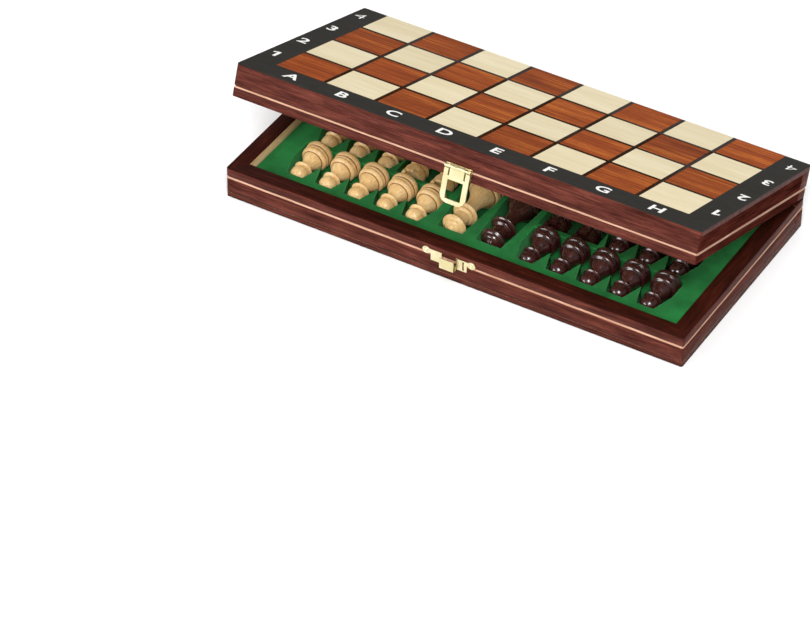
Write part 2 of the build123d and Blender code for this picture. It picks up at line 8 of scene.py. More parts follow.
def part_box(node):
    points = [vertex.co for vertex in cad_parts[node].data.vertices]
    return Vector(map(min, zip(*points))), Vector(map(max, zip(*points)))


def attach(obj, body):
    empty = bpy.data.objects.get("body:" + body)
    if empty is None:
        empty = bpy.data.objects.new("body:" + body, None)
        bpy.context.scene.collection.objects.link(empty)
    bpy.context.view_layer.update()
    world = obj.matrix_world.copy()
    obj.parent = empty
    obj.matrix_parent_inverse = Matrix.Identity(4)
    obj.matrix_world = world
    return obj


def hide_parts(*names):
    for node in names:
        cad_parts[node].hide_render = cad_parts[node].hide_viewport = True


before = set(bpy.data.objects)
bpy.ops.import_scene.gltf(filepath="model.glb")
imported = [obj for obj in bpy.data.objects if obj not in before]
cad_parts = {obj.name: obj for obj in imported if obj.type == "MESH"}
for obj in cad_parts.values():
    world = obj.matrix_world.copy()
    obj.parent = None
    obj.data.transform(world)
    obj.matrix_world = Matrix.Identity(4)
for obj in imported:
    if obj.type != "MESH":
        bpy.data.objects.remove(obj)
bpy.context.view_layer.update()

print("frame loaded,", len(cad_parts), "nodes")

# the box in millimetres; the lid is described closed, and ajar is the angle it stands open by
chessBox = {
    "length": 267.0, "depth": 133.3, "half height": 18.0, "hinge y": 66.7, "hinge z": 18.05, "ajar": 18.4,
    "square": 30.0, "line": 2.2, "side border": 14.6, "front border": 15.5, "groove from rim": 5.6,
}
chessBox["groove z", "tray"] = chessBox["half height"] - chessBox["groove from rim"]
chessBox["groove z", "lid"] = 2 * chessBox["hinge z"] - chessBox["groove z", "tray"]
frontY = -chessBox["depth"] / 2
sideX = chessBox["length"] / 2
lidTop = 2 * chessBox["hinge z"]
gridLeft = -4 * chessBox["square"]
gridFront = frontY + chessBox["front border"] - chessBox["line"] / 2

hingePoint = Vector((0, chessBox["hinge y"], chessBox["hinge z"])) * 0.001
closeLid = (Matrix.Translation(hingePoint) @ Matrix.Rotation(math.radians(chessBox["ajar"]), 4, "X")
            @ Matrix.Translation(-hingePoint))
openLid = closeLid.inverted()


# colour and node helpers

def paint(code):  # a screen colour such as "8A3A1C" as the shader wants it
    parts = [int(code[k:k + 2], 16) / 255 for k in (0, 2, 4)]
    return [(c / 12.92 if c < 0.04045 else ((c + 0.055) / 1.055) ** 2.4) for c in parts] + [1.0]


def newFinish(name, **shaderValues):
    finish = bpy.data.materials.new(name)
    finish.use_nodes = True
    shader = finish.node_tree.nodes["Principled BSDF"]
    for socket, value in shaderValues.items():
        shader.inputs[socket.replace("_", " ")].default_value = value
    return finish, finish.node_tree, shader


def put(tree, kind, inputs=None, **settings):
    made = tree.nodes.new("ShaderNode" + kind)
    for name, value in settings.items():
        setattr(made, name, value)
    for socket, value in (inputs or {}).items():
        if isinstance(value, bpy.types.NodeSocket):
            tree.links.new(value, made.inputs[socket])
        else:
            made.inputs[socket].default_value = value
    return made


def calc(tree, operation, first, second=0.0, third=0.0):
    return put(tree, "Math", {0: first, 1: second, 2: third}, operation=operation).outputs[0]


def boxPlace(tree, onLid):  # millimetres, with the lid turned back to closed
    here = put(tree, "TexCoord").outputs["Object"]
    if not onLid:
        return put(tree, "Mapping", {"Vector": here, "Scale": (1000, 1000, 1000)}).outputs[0]
    shift = closeLid.translation * 1000
    return put(tree, "Mapping", {"Vector": here, "Scale": (1000, 1000, 1000), "Location": shift,
                                 "Rotation": (math.radians(chessBox["ajar"]), 0, 0)}).outputs[0]


def stretched(tree, place, along, across, lengthwise, offset=None):
    scale = [across, across, across]
    scale["XYZ".index(along)] = lengthwise
    if offset is not None:
        place = put(tree, "VectorMath", {0: place, 1: offset}, operation="ADD").outputs[0]
    return put(tree, "Mapping", {"Vector": place, "Scale": scale}).outputs[0]


def noise(tree, place, scale=1.0, detail=4.0, rough=0.55, distortion=0.0):
    return put(tree, "TexNoise", {"Vector": place, "Scale": scale, "Detail": detail, "Roughness": rough,
                                  "Distortion": distortion}).outputs["Fac"]


def ramp(tree, value, stops):
    made = put(tree, "ValToRGB", {"Fac": value})
    band = made.color_ramp
    for k, (at, colour) in enumerate(stops):
        stop = band.elements[k] if k < 2 else band.elements.new(at)
        stop.position = at
        stop.color = colour
    return made.outputs["Color"]


def mixed(tree, amount, first, second, blend="MIX"):
    made = put(tree, "Mix", {}, data_type="RGBA", blend_type=blend)
    for socket, value in ((0, amount), (6, first), (7, second)):
        if isinstance(value, bpy.types.NodeSocket):
            tree.links.new(value, made.inputs[socket])
        else:
            made.inputs[socket].default_value = value
    return made.outputs[2]


def bumped(tree, shader, height, strength, distance):
    made = put(tree, "Bump", {"Height": height, "Strength": strength, "Distance": distance})
    tree.links.new(made.outputs[0], shader.inputs["Normal"])


def spread(tree, value, low, high):
    return put(tree, "MapRange", {0: value, 3: low, 4: high}).outputs[0]


# woods

grainLook = {"streak share": 0.55, "band share": 0.45, "streak length": 0.035, "band length": 0.12,
             "pore width": 3.2, "pore length": 0.22, "pores above": 0.62, "cell shift": 300,
             "dark at": 0.34, "middle at": 0.5, "light at": 0.66}


def woodFinish(name, look, onLid=False, cells=False):
    finish, tree, shader = newFinish(name, Coat_Weight=look["lacquer"], Coat_Roughness=0.15,
                                     Specular_IOR_Level=look["shine"])
    place = boxPlace(tree, onLid)
    shift = None
    if cells:  # each square is cut from another bit of veneer
        origin = (gridLeft, gridFront, 0)
        pitch = chessBox["square"]
        local = put(tree, "VectorMath", {0: place, 1: origin}, operation="SUBTRACT").outputs[0]
        cell = put(tree, "VectorMath", {0: local, 1: (1 / pitch, 1 / pitch, 0)}, operation="MULTIPLY")
        cell = put(tree, "VectorMath", {0: cell.outputs[0]}, operation="FLOOR").outputs[0]
        random = put(tree, "TexWhiteNoise", {"Vector": cell}, noise_dimensions="3D")
        shift = put(tree, "VectorMath", {0: random.outputs["Color"], 1: (grainLook["cell shift"],) * 3},
                    operation="MULTIPLY").outputs[0]

    def alongGrain(across, lengthwise):
        return stretched(tree, place, look["grain"], across, lengthwise, shift)

    streaks = noise(tree, alongGrain(look["fine"], look["fine"] * grainLook["streak length"]),
                    detail=look.get("detail", 5), rough=0.6, distortion=0.4)
    bands = noise(tree, alongGrain(look["broad"], look["broad"] * grainLook["band length"]), detail=3)
    pores = noise(tree, alongGrain(grainLook["pore width"], grainLook["pore length"]), detail=2)
    grainMix = calc(tree, "ADD", calc(tree, "MULTIPLY", streaks, grainLook["streak share"]),
                    calc(tree, "MULTIPLY", bands, grainLook["band share"]))
    colour = ramp(tree, grainMix, [(grainLook[f"{tone} at"], paint(look[tone]))
                                   for tone in ("dark", "light", "middle")])
    poreMask = spread(tree, calc(tree, "GREATER_THAN", pores, grainLook["pores above"]), 0.0, look["pores"])
    colour = mixed(tree, poreMask, colour, paint(look["pore colour"]))
    if cells:
        tone = spread(tree, random.outputs["Value"], 1 - look["cell spread"], 1 + look["cell spread"])
        colour = put(tree, "HueSaturation", {"Color": colour, "Value": tone}).outputs[0]
    tree.links.new(colour, shader.inputs["Base Color"])
    tree.links.new(spread(tree, streaks, look["roughness"] - 0.06, look["roughness"] + 0.08),
                   shader.inputs["Roughness"])
    bumped(tree, shader, streaks, look["bump"], 0.0002)
    return finish


stain = {"dark": "2E0F0A", "middle": "50261E", "light": "703A2F", "pore colour": "1C0907", "pores": 0.5,
         "grain": "X", "fine": 1.6, "broad": 0.35, "roughness": 0.42, "lacquer": 0.0, "shine": 0.05,
         "bump": 0.12}
# a darker stain for the lid's left and right rails, which is painted shade on those sides, and no sheen
shadedLidSideStain = dict(stain, dark="280D09", middle="471F18", light="633127", shine=0.0)
wornStain = dict(stain, dark="4A1D15", middle="7A3A2C", light="A0604A", fine=0.5)
rimStain = dict(stain, dark="1C0906", middle="35140D", light="4C1E14")
rawWood = {"dark": "A98A60", "middle": "C6A97C", "light": "DCC49A", "pore colour": "8A6A42", "pores": 0.25,
           "grain": "X", "fine": 1.4, "broad": 0.3, "roughness": 0.6, "lacquer": 0.0, "shine": 0.2,
           "bump": 0.15}
stripeWood = {"dark": "AE7C60", "light": "DDB095", "below groove": 0.42, "half": 0.26, "soft edge": 0.12}
redVeneer = {"dark": "66290E", "middle": "914317", "light": "BC6A2A", "pore colour": "451809", "pores": 0.55,
             "grain": "X", "fine": 0.8, "broad": 0.12, "roughness": 0.36, "lacquer": 0.0, "shine": 0.02,
             "bump": 0.06, "cell spread": 0.14}
creamVeneer = {"dark": "D3C39F", "middle": "DBCDAA", "light": "E1D7BA", "pore colour": "CDB98E", "pores": 0.2,
               "grain": "X", "fine": 0.9, "broad": 0.12, "roughness": 0.36, "lacquer": 0.0, "shine": 0.05,
               "bump": 0.03, "cell spread": 0.03}
lineWood = dict(stain, dark="1C1008", middle="2A190D", light="38220F", shine=0.02, bump=0.05)
paleMan = {"dark": "CFA468", "middle": "DDB87E", "light": "E9CB98", "pore colour": "B98A50", "pores": 0.08,
           "detail": 2, "grain": "Y", "fine": 1.1, "broad": 0.2, "roughness": 0.34, "lacquer": 0.12,
           "shine": 0.3, "bump": 0.01}
darkMan = {"dark": "2A1110", "middle": "351615", "light": "421D1B", "pore colour": "2A1110", "pores": 0.0,
           "detail": 1, "grain": "Y", "fine": 0.5, "broad": 0.12, "roughness": 0.26, "lacquer": 0.8,
           "shine": 0.35, "bump": 0.0005}
paleGroove = dict(paleMan, dark="7A4A22", middle="8E5A2C", light="A06A38")
darkGroove = dict(darkMan, dark="0C0404", middle="140707", light="1E0C0B")


def stripeFinish(name, look, onLid, grooveZ):  # a thin pale line left along the lower side of the groove
    finish, tree, shader = newFinish(name, Roughness=0.5, Specular_IOR_Level=0.2)
    place = boxPlace(tree, onLid)
    streaks = noise(tree, stretched(tree, place, look["grain"], 1.8, 0.07), detail=4)
    pale = ramp(tree, streaks, [(0.3, paint(stripeWood["dark"])), (0.7, paint(stripeWood["light"]))])
    stained = ramp(tree, streaks, [(0.3, paint(look["dark"])), (0.7, paint(look["middle"]))])
    height = put(tree, "SeparateXYZ", {0: place}).outputs["Z"]
    away = calc(tree, "ABSOLUTE", calc(tree, "SUBTRACT", height, grooveZ - stripeWood["below groove"]))
    outer = stripeWood["half"] + stripeWood["soft edge"]
    onLine = put(tree, "MapRange", {0: away, 1: stripeWood["half"], 2: outer, 3: 1.0, 4: 0.0})
    tree.links.new(mixed(tree, onLine.outputs[0], stained, pale), shader.inputs["Base Color"])
    bumped(tree, shader, streaks, 0.1, 0.0001)
    return finish


blackVeneer = {"dark": "201F1C", "light": "2F2D29", "score": "15130F", "score half": 0.14}


def blackFinish(name, onLid):  # black veneer with a fine score between the cells
    finish, tree, shader = newFinish(name, Specular_IOR_Level=0.03)
    place = boxPlace(tree, onLid)
    grainX = noise(tree, stretched(tree, place, "X", 2.2, 0.09), detail=4)
    flecks = noise(tree, place, scale=0.9, detail=6, rough=0.7)
    colour = ramp(tree, grainX, [(0.3, paint(blackVeneer["dark"])), (0.7, paint(blackVeneer["light"]))])
    axes = put(tree, "SeparateXYZ", {0: place})
    scores = []
    for axis, start, first, last in (("X", gridLeft, 0, 8), ("Y", gridFront, 0, 4)):
        along = calc(tree, "DIVIDE", calc(tree, "SUBTRACT", axes.outputs[axis], start), chessBox["square"])
        nearest = calc(tree, "ROUND", along)
        away = calc(tree, "ABSOLUTE", calc(tree, "SUBTRACT", along, nearest))
        onLine = calc(tree, "LESS_THAN", away, blackVeneer["score half"] / chessBox["square"])
        inside = calc(tree, "MULTIPLY", calc(tree, "GREATER_THAN", nearest, first - 0.5 + (axis == "X")),
                      calc(tree, "LESS_THAN", nearest, last - 0.5))
        scores.append(calc(tree, "MULTIPLY", onLine, inside))
    frontCells = calc(tree, "LESS_THAN", axes.outputs["Y"], gridFront)
    sideCells = calc(tree, "GREATER_THAN", calc(tree, "ABSOLUTE", axes.outputs["X"]), -gridLeft)
    score = calc(tree, "MAXIMUM", calc(tree, "MULTIPLY", scores[0], frontCells),
                 calc(tree, "MULTIPLY", scores[1], sideCells))
    dashed = calc(tree, "MULTIPLY", score, spread(tree, flecks, 0.3, 1.0))
    colour = mixed(tree, dashed, colour, paint(blackVeneer["score"]))
    tree.links.new(colour, shader.inputs["Base Color"])
    tree.links.new(spread(tree, flecks, 0.34, 0.5), shader.inputs["Roughness"])
    height = calc(tree, "SUBTRACT", calc(tree, "MULTIPLY", grainX, 0.2), score)
    bumped(tree, shader, height, 0.4, 0.0001)
    return finish


def paintFinish(name):  # white screen print
    finish, tree, shader = newFinish(name, Roughness=0.45)
    place = boxPlace(tree, False)
    mottle = noise(tree, place, scale=1.5, detail=4)
    white = ramp(tree, mottle, [(0.3, paint("E4E4DE")), (0.7, paint("FBFBF8"))])
    tree.links.new(white, shader.inputs["Base Color"])
    bumped(tree, shader, mottle, 0.05, 0.0001)
    return finish


def flockFinish(name, low, high):
    finish, tree, shader = newFinish(name, Roughness=0.92, Specular_IOR_Level=0.15, Sheen_Weight=0.35,
                                     Sheen_Roughness=0.5, Sheen_Tint=paint("7FD08F"))
    place = boxPlace(tree, False)
    clouds = noise(tree, place, scale=0.05, detail=5, rough=0.6)
    fibres = noise(tree, place, scale=3.5, detail=3, rough=0.7)
    both = calc(tree, "ADD", calc(tree, "MULTIPLY", clouds, 0.6), calc(tree, "MULTIPLY", fibres, 0.4))
    tree.links.new(ramp(tree, both, [(0.35, paint(low)), (0.65, paint(high))]), shader.inputs["Base Color"])
    bumped(tree, shader, fibres, 0.35, 0.0003)
    return finish


def brassFinish(name, low, high, roughness):
    finish, tree, shader = newFinish(name, Metallic=1.0)
    place = boxPlace(tree, False)
    stains = noise(tree, place, scale=0.12, detail=3, rough=0.5)
    scratches = noise(tree, stretched(tree, place, "X", 2.5, 0.2), detail=2)
    tree.links.new(ramp(tree, stains, [(0.3, paint(low)), (0.7, paint(high))]), shader.inputs["Base Color"])
    tree.links.new(spread(tree, scratches, roughness - 0.04, roughness + 0.06), shader.inputs["Roughness"])
    bumped(tree, shader, scratches, 0.02, 0.0001)
    return finish


# the lid's side rails take the darker stain with its painted shade
railStains = {("tray", "X"): stain, ("tray", "Y"): dict(stain, shine=0.02),
              ("lid", "X"): stain, ("lid", "Y"): shadedLidSideStain}
finishes = {}
for half, onLid in (("tray", False), ("lid", True)):
    for grain in "XY":
        surface = dict(railStains[half, grain], grain=grain)
        finishes[half, "stain", grain] = woodFinish(f"{half}Stain{grain}", surface, onLid)
        if onLid:  # only the lid's upper edges are worn
            worn = dict(wornStain, grain=grain)
            finishes[half, "worn", grain] = woodFinish(f"{half}Worn{grain}", worn, onLid)
        finishes[half, "rim", grain] = woodFinish(f"{half}Rim{grain}", dict(rimStain, grain=grain), onLid)
        finishes[half, "raw", grain] = woodFinish(f"{half}Raw{grain}", dict(rawWood, grain=grain), onLid)
        ground = dict(stain, grain=grain)
        finishes[half, "stripe", grain] = stripeFinish(f"{half}Stripe{grain}", ground, onLid,
                                                       chessBox["groove z", half])
    finishes[half, "red"] = woodFinish(f"{half}RedVeneer", redVeneer, onLid, cells=True)
    finishes[half, "cream"] = woodFinish(f"{half}CreamVeneer", creamVeneer, onLid, cells=True)
    finishes[half, "line"] = woodFinish(f"{half}LineWood", lineWood, onLid)
    finishes[half, "black"] = blackFinish(f"{half}Black", onLid)
finishes["print"] = paintFinish("whitePrint")
finishes["flock"] = flockFinish("greenFlock", "0E5024", "24803E")
# lighter green for the insert's rounded top edges, standing for wear there and a painted highlight along them
finishes["worn flock"] = flockFinish("wornFlock", "18662E", "348E4A")
finishes["pale"] = woodFinish("paleMen", paleMan)
finishes["pale groove"] = woodFinish("paleGroove", paleGroove)
finishes["dark"] = woodFinish("darkMen", darkMan)
finishes["dark groove"] = woodFinish("darkGroove", darkGroove)
finishes["brass"] = brassFinish("paleBrass", "D9CD9B", "E9E0BA", 0.34)
print("finishes ready,", len(finishes))


# piece helpers

def closedPoint(point, half):
    return closeLid @ point if half == "lid" else point


def closedTurn(half):
    return closeLid.to_3x3() if half == "lid" else Matrix.Identity(3)


def camelName(node):
    return "".join(word.capitalize() if k else word for k, word in enumerate(node.split("_")))


def nodeCopy(node):  # the solid's mesh with its loose triangles joined into flat faces
    form = bmesh.new()
    form.from_mesh(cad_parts[node].data)
    bmesh.ops.remove_doubles(form, verts=form.verts, dist=0.000002)
    bmesh.ops.dissolve_limit(form, angle_limit=math.radians(0.6), verts=form.verts, edges=form.edges)
    return form


def roundEdges(form, width, segments=2, sharper=25, keep=None, material=-1):
    edges = [e for e in form.edges if e.is_manifold and e.calc_face_angle(0) > math.radians(sharper)
             and (keep is None or keep(e))]
    return bmesh.ops.bevel(form, geom=edges, offset=width * 0.001, offset_type="OFFSET", segments=segments,
                           profile=0.5, affect="EDGES", material=material, clamp_overlap=True)


def drawOut(form, faces, shift):  # the faces are moved and walls are left round them
    grown = bmesh.ops.extrude_face_region(form, geom=faces)["geom"]
    bmesh.ops.translate(form, vec=shift, verts=[v for v in grown if isinstance(v, bmesh.types.BMVert)])
    return [f for f in grown if isinstance(f, bmesh.types.BMFace)]


def cutFaces(form, faces, place, facing):  # splits faces along a plane
    parts = faces + list({e for f in faces for e in f.edges}) + list({v for f in faces for v in f.verts})
    bmesh.ops.bisect_plane(form, geom=parts, dist=0.000001, plane_co=place, plane_no=facing)


def spinRound(form, steps, weld=0.002):  # lathe work about the upright axis
    bmesh.ops.spin(form, geom=form.verts[:] + form.edges[:], cent=(0, 0, 0), axis=(0, 0, 1), dvec=(0, 0, 0),
                   angle=math.tau, steps=steps, use_merge=True, use_duplicate=False)
    bmesh.ops.remove_doubles(form, verts=form.verts, dist=weld * 0.001)


def newLine(form, points):
    verts = [form.verts.new(p) for p in points]
    for pair in zip(verts, verts[1:]):
        form.edges.new(pair)


def addForm(whole, form):
    mesh = bpy.data.meshes.new("part")
    form.to_mesh(mesh)
    form.free()
    whole.from_mesh(mesh)
    bpy.data.meshes.remove(mesh)


def finishPiece(form, name, body, materials, node=None, smoothUnder=35):
    mesh = bpy.data.meshes.new(name)
    form.to_mesh(mesh)
    form.free()
    for material in materials:
        mesh.materials.append(material)
    mesh.shade_smooth()
    mesh.set_sharp_from_angle(angle=math.radians(smoothUnder))
    piece = bpy.data.objects.new(name, mesh)
    bpy.context.scene.collection.objects.link(piece)
    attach(piece, body)
    if node:
        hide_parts(node)
    return piece


def setFinish(node, *materials):  # a CAD node that stays gets its finish
    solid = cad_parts[node]
    solid.data.materials.clear()
    for material in materials:
        solid.data.materials.append(material)


# rails and boards

railLook = {"edge": 0.35, "groove half": 0.9, "groove from": 0.05, "groove to": 1.3, "lining from": 6,
            "rim within": 0.2, "worn below top": 1}
railKinds = ["stain", "raw", "stripe", "rim", "worn"]


def dressRail(half, side):
    node = f"{half}_{side}_rail"
    form = nodeCopy(node)
    inward = {"front": (0, 1, 0), "back": (0, -1, 0), "left": (1, 0, 0), "right": (-1, 0, 0)}[side]
    grain = "X" if side in ("front", "back") else "Y"
    rimZ = chessBox["half height"] if half == "tray" else lidTop - chessBox["half height"]
    grooveZ = chessBox["groove z", half]
    worn = railKinds.index("worn")
    roundEdges(form, railLook["edge"], sharper=60, material=worn)
    turn = closedTurn(half)
    for face in form.faces:
        place = closedPoint(face.calc_center_median(), half) * 1000
        facing = turn @ face.normal
        outside = {"front": place.y - frontY, "back": min(-frontY - place.y, sideX - abs(place.x)),
                   "left": place.x + sideX, "right": sideX - place.x}[side]
        atTop = place.z > lidTop - railLook["worn below top"]
        if face.material_index == worn and atTop and abs(facing["XY".index(grain)]) < 0.2:
            continue
        inGroove = (abs(place.z - grooveZ) < railLook["groove half"]
                    and railLook["groove from"] < outside < railLook["groove to"])
        if facing.dot(Vector(inward)) > 0.7 and outside > railLook["lining from"]:
            kind = "raw"
        elif inGroove and abs(facing.z) > 0.2:
            kind = "stripe"
        elif abs(facing.z) > 0.3 and abs(place.z - rimZ) < railLook["rim within"]:
            kind = "rim"
        else:
            kind = "stain"
        face.material_index = railKinds.index(kind)
    materials = [finishes[half, kind, grain] for kind in railKinds if (half, kind, grain) in finishes]
    return finishPiece(form, f"{half}{side.capitalize()}Rail", half, materials, node)


def dressBoard(half):
    node = f"{half}_board"
    form = nodeCopy(node)
    turn = closedTurn(half)
    outward = -1 if half == "tray" else 1
    for face in form.faces:
        facing = turn @ face.normal
        if facing.z * outward > 0.5:
            face.material_index = 1
        elif facing.z * outward < -0.5:
            face.material_index = 2
        else:
            face.material_index = 0
    materials = [finishes[half, "stain", "X"], finishes[half, "line"], finishes[half, "raw", "X"]]
    return finishPiece(form, f"{half}Board", half, materials, node)


for half in ("tray", "lid"):
    for side in ("front", "back", "left", "right"):
        dressRail(half, side)
    dressBoard(half)
    setFinish(f"{half}_dark_squares", finishes[half, "red"])
    setFinish(f"{half}_light_squares", finishes[half, "cream"])
print("rails, boards and squares dressed")


# black borders with their letters and numbers

lettering = {"height": 7.7, "bolder": 0.024, "bolder four": -0.012, "wider": 1.1, "sunk": 0.03,
             "outward": 2.0}


def dressBorder(half):
    form = nodeCopy(f"{half}_border")
    sunk = lettering["sunk"] * 0.001
    outward = openLid.to_3x3() @ Vector((0, 0, 1)) if half == "lid" else Vector((0, 0, -1))
    top = [f for f in form.faces if f.normal.dot(outward) > 0.9]
    for vert in {v for f in top for v in f.verts}:
        vert.co -= outward * sunk
    return finishPiece(form, f"{half}Border", half, [finishes[half, "black"]],
                       f"{half}_border")


flagLook = {"thick": 0.15, "out": -0.19, "down": -0.11}


def addFlag(mesh):  # the font's figure one is a bare bar, so its flag is drawn out of the top left edge
    glyph = bmesh.new()
    glyph.from_mesh(mesh)
    top, left = max(v.co.y for v in glyph.verts), min(v.co.x for v in glyph.verts)
    under = top - flagLook["thick"]
    bmesh.ops.bisect_plane(glyph, geom=glyph.verts[:] + glyph.edges[:] + glyph.faces[:], dist=0.00001,
                           plane_co=(0, under, 0), plane_no=(0, 1, 0))
    edges = [e for e in glyph.edges if all(v.co.x < left + 0.001 and v.co.y > under - 0.001 for v in e.verts)]
    drawn = bmesh.ops.extrude_edge_only(glyph, edges=edges)["geom"]
    bmesh.ops.translate(glyph, vec=(flagLook["out"], flagLook["down"], 0),
                        verts=[v for v in drawn if isinstance(v, bmesh.types.BMVert)])
    glyph.normal_update()
    bmesh.ops.reverse_faces(glyph, faces=[f for f in glyph.faces if f.normal.z < 0])
    glyph.to_mesh(mesh)
    glyph.free()


def signMesh(sign):
    words = bpy.data.curves.new(f"sign{sign}", "FONT")
    words.body = sign
    words.size = 1.0
    words.offset = lettering["bolder four" if sign == "4" else "bolder"]  # keeps the four's hole open
    words.align_x = "CENTER"
    words.resolution_u = 6
    holder = bpy.data.objects.new(f"sign{sign}", words)
    bpy.context.scene.collection.objects.link(holder)
    bpy.context.view_layer.update()
    mesh = bpy.data.meshes.new_from_object(holder.evaluated_get(bpy.context.evaluated_depsgraph_get()))
    bpy.data.objects.remove(holder)
    bpy.data.curves.remove(words)
    if sign == "1":
        addFlag(mesh)
    return mesh


def makeSigns(half):
    onLid = half == "lid"
    form = bmesh.new()
    middleY = frontY + chessBox["front border"] / 2
    middleX = sideX - chessBox["side border"] / 2 + lettering["outward"]
    upright, turnedRound = ((Matrix.Identity(4), Matrix.Rotation(math.pi, 4, "Z")) if onLid else
                            (Matrix.Rotation(math.pi, 4, "X"), Matrix.Rotation(math.pi, 4, "Y")))
    signs = [(letter, gridLeft + (k + 0.5) * chessBox["square"], middleY, upright if onLid else turnedRound)
             for k, letter in enumerate("ABCDEFGH")]
    for k in range(4):
        y = gridFront + (k + 0.5) * chessBox["square"]
        rank = str(k + 1 if onLid else 8 - k)
        signs.append((rank, -middleX, y, upright))
        signs.append((rank, middleX, y, turnedRound))
    for sign, x, y, turn in signs:
        mesh = signMesh(sign)
        before = set(form.verts)
        form.from_mesh(mesh)
        bpy.data.meshes.remove(mesh)
        own = [v for v in form.verts if v not in before]
        low, high = min(v.co.y for v in own), max(v.co.y for v in own)
        left, right = min(v.co.x for v in own), max(v.co.x for v in own)
        capital = lettering["height"] / (high - low)
        centre = Matrix.Translation((-(left + right) / 2, -(low + high) / 2, 0))
        size = Matrix.Diagonal((capital * lettering["wider"], capital, 1, 1))
        bmesh.ops.transform(form, matrix=Matrix.Translation((x, y, 0)) @ turn @ size @ centre, verts=own)
    lift = lidTop if onLid else 0.0
    seat = Matrix.Scale(0.001, 4) @ Matrix.Translation((0, 0, lift))
    bmesh.ops.transform(form, matrix=seat, verts=form.verts)
    if onLid:
        bmesh.ops.transform(form, matrix=openLid, verts=form.verts)
    return finishPiece(form, f"{half}Signs", half, [finishes["print"]])


for half in ("tray", "lid"):
    dressBorder(half)
    makeSigns(half)
print("borders and signs done")


# flocked insert

insertLook = {"rim": 0.8, "top below rim": 3.5}


def dressInsert():
    form = nodeCopy("flocked_insert")
    topZ = (chessBox["half height"] - insertLook["top below rim"]) * 0.001

    def atTop(edge):
        return all(abs(v.co.z - topZ) < 0.00005 for v in edge.verts)

    # the rounded top edges take the lighter flock, which is wear and a painted highlight
    roundEdges(form, insertLook["rim"], segments=3, sharper=40, keep=atTop, material=1)
    return finishPiece(form, "flockedInsert", "tray",
                       [finishes["flock"], finishes["worn flock"]], "flocked_insert", smoothUnder=50)


dressInsert()
print("insert done")


# chessmen

menLook = {"steps": 48, "bow steps": 7, "weld": 0.003, "foot groove": (0.133, 0.156)}

# outlines from the foot up: share of the foot radius, share of the height, and how far the line to the next
# point bows out, as a share of its length
footLine = [(0, 0, 0), (0.9, 0, 0.2), (1, 0.035, 0.12), (1, 0.105, 0.2), (0.93, 0.135, 0), (0.9, 0.145, 0)]
outlines = {
    "pawn": footLine + [
        (0.9, 0.155, 0.3), (0.94, 0.21, 0.25), (0.78, 0.315, 0.0), (0.74, 0.325, 0.0), (0.74, 0.335, 0.02),
        (0.52, 0.46, -0.1), (0.38, 0.62, 0), (0.42, 0.645, 0.1), (0.63, 0.66, 0.5), (0.63, 0.695, 0.1),
        (0.42, 0.715, -0.1), (0.42, 0.73, 0.0), (0.54, 0.755, 0.15), (0.62, 0.83, 0.12), (0.44, 0.955, 0.12),
        (0, 1, 0)],
    "rook": footLine + [
        (0.9, 0.155, 0.3), (0.94, 0.2, 0.25), (0.8, 0.275, 0.0), (0.77, 0.285, 0.0), (0.76, 0.295, 0.0),
        (0.6, 0.4, -0.08), (0.5, 0.66, 0), (0.62, 0.685, 0.4), (0.64, 0.715, 0.3), (0.54, 0.745, -0.1),
        (0.56, 0.77, 0), (0.7, 0.82, 0.1), (0.73, 0.86, 0), (0.73, 0.93, 0), (0.54, 0.93, 0), (0.52, 0.88, 0),
        (0, 0.875, 0)],
    "bishop": footLine + [
        (0.9, 0.155, 0.3), (0.94, 0.2, 0.25), (0.8, 0.25, 0.0), (0.77, 0.257, 0.0), (0.76, 0.265, 0.0),
        (0.55, 0.37, -0.08), (0.43, 0.56, 0), (0.6, 0.58, 0.45), (0.6, 0.615, 0.1), (0.44, 0.635, -0.1),
        (0.43, 0.65, 0), (0.6, 0.735, 0.14), (0.52, 0.82, 0.1), (0.2, 0.895, 0), (0.22, 0.905, 0.3),
        (0.3, 0.945, 0.3), (0.17, 0.99, 0.15), (0, 1, 0)],
    "queen": footLine + [
        (0.9, 0.15, 0.3), (0.94, 0.19, 0.25), (0.82, 0.225, 0.0), (0.79, 0.23, 0.0), (0.78, 0.24, 0.0),
        (0.55, 0.34, -0.08), (0.42, 0.57, 0), (0.52, 0.58, 0.4), (0.52, 0.6, 0), (0.5, 0.605, 0),
        (0.7, 0.625, 0.45), (0.7, 0.655, 0.1), (0.54, 0.665, 0), (0.56, 0.675, 0.4), (0.56, 0.7, 0),
        (0.46, 0.715, 0), (0.47, 0.76, -0.08), (0.56, 0.85, 0), (0.71, 0.885, 0.25), (0.7, 0.912, 0.12),
        (0.5, 0.944, 0), (0.48, 0.95, 0.12), (0.24, 0.976, 0), (0.22, 0.98, 0.2), (0.12, 0.996, 0.15),
        (0, 1, 0)],
    "king": footLine + [
        (0.9, 0.15, 0.3), (0.94, 0.19, 0.25), (0.82, 0.215, 0.0), (0.79, 0.22, 0.0), (0.78, 0.23, 0.0),
        (0.55, 0.32, -0.08), (0.4, 0.57, 0), (0.48, 0.585, 0), (0.75, 0.6, 0.45), (0.75, 0.63, 0.1),
        (0.52, 0.645, 0), (0.52, 0.66, 0.2), (0.45, 0.675, 0), (0.46, 0.7, -0.05), (0.62, 0.83, 0.05),
        (0.66, 0.86, 0.2), (0.58, 0.885, 0), (0, 0.9, 0)],
    "knight": footLine + [
        (0.9, 0.15, 0.3), (0.94, 0.19, 0.2), (0.84, 0.235, 0.1), (0.6, 0.27, 0), (0, 0.29, 0)],
}
# the dark groove above each foot, in shares of the height; the knight has none
grooveBands = {"pawn": (0.315, 0.337), "rook": (0.275, 0.297), "bishop": (0.25, 0.267),
               "queen": (0.225, 0.242), "king": (0.215, 0.232)}


